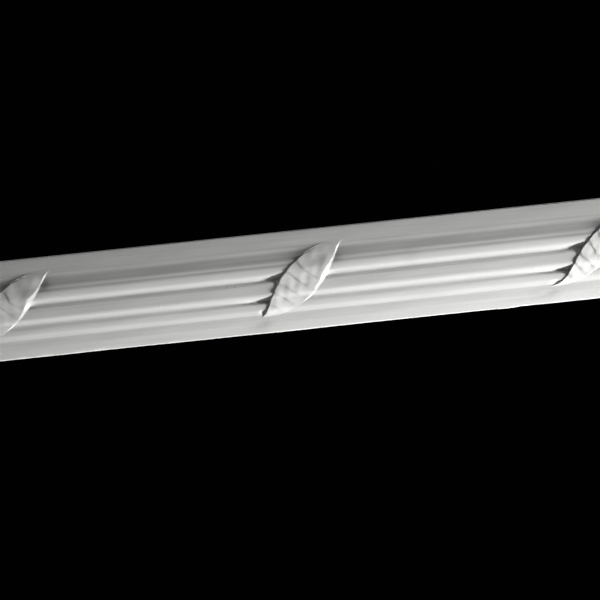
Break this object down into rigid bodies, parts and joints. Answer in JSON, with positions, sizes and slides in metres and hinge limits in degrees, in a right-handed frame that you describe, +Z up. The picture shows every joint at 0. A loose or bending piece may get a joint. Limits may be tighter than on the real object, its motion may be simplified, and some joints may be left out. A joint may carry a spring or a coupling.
{
  "type": "plaster cornice moulding",
  "caption": "Straight length of plaster cornice: graduated reeds between two plain bands, bound by slanting pleated ribbons, with a flat back and square-cut ends.",
  "frame": {"origin": "centre of the flat back, halfway along the length and halfway up the face", "axes": "+X along the length towards the right-hand end as seen from the front, +Z up the wall, +Y into the wall, so the moulded face looks towards -Y"},
  "size_m": [0.9, 0.0241, 0.1],
  "materials": {
    "plaster": "matt white casting plaster, unpainted, with fine tool marks and a few pinholes"
  },
  "bodies": {
    "root": {"cornice_length": "plaster"}
  },
  "joints": []
}
